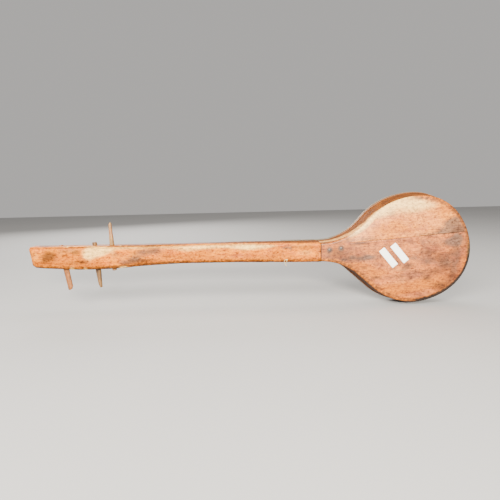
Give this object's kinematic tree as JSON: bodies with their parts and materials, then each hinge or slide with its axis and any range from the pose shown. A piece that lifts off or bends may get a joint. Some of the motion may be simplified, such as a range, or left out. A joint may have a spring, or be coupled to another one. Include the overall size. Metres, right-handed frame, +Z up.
{
  "type": "banjo",
  "caption": "Long-necked folk banjo with a teardrop body, carved neck and head, nailed wooden back boards, skin front and turning friction pegs.",
  "frame": {"origin": "on the surface under the instrument as it stands on the edge of its rim, below the middle of its length and of its depth", "axes": "+X along the neck from the head towards the body, +Y through the body from the wooden back towards the skin head and the strings, +Z up"},
  "size_m": [0.764, 0.0564, 0.195],
  "materials": {
    "carved_wood": "worn varnish over carved wood",
    "back_wood": "pale, stained and worn",
    "peg_wood": "raw whittled wood",
    "batten_wood": "raw sawn wood",
    "dark_wood": "oiled",
    "skin": "dry parchment",
    "gut": "twisted gut",
    "nail_iron": "dull, with a little rust"
  },
  "bodies": {
    "neck_and_rim": {"neck": "carved_wood", "rim": "carved_wood", "back_board_lower": "back_wood", "back_board_upper": "back_wood", "back_batten_waist": "batten_wood", "back_batten_tail": "batten_wood", "tongue_nails": "nail_iron", "skin_head": "skin", "neck_lace": "gut", "nut": "dark_wood", "bridge": "dark_wood", "tail_bar": "dark_wood", "tail_nails": "nail_iron", "string_outer": "gut", "string_middle": "gut", "string_inner": "gut"},
    "outer_peg": {"peg_outer": "peg_wood", "winding_outer": "gut"},
    "middle_peg": {"peg_middle": "peg_wood", "winding_middle": "gut"},
    "inner_peg": {"peg_inner": "peg_wood", "winding_inner": "gut"}
  },
  "joints": [
    {"name": "outer_peg_turn", "type": "hinge", "parent": "neck_and_rim", "child": "outer_peg", "pos_m": [-0.3267, 0.0023, 0.0975], "axis": [0.1323, 0, -0.9912], "continuous": true},
    {"name": "middle_peg_turn", "type": "hinge", "parent": "neck_and_rim", "child": "middle_peg", "pos_m": [-0.2688, 0.0023, 0.0975], "axis": [0.0558, 0, -0.9984], "continuous": true},
    {"name": "inner_peg_turn", "type": "hinge", "parent": "neck_and_rim", "child": "inner_peg", "pos_m": [-0.2395, 0.0023, 0.0975], "axis": [-0.0244, 0, 0.9997], "continuous": true}
  ]
}
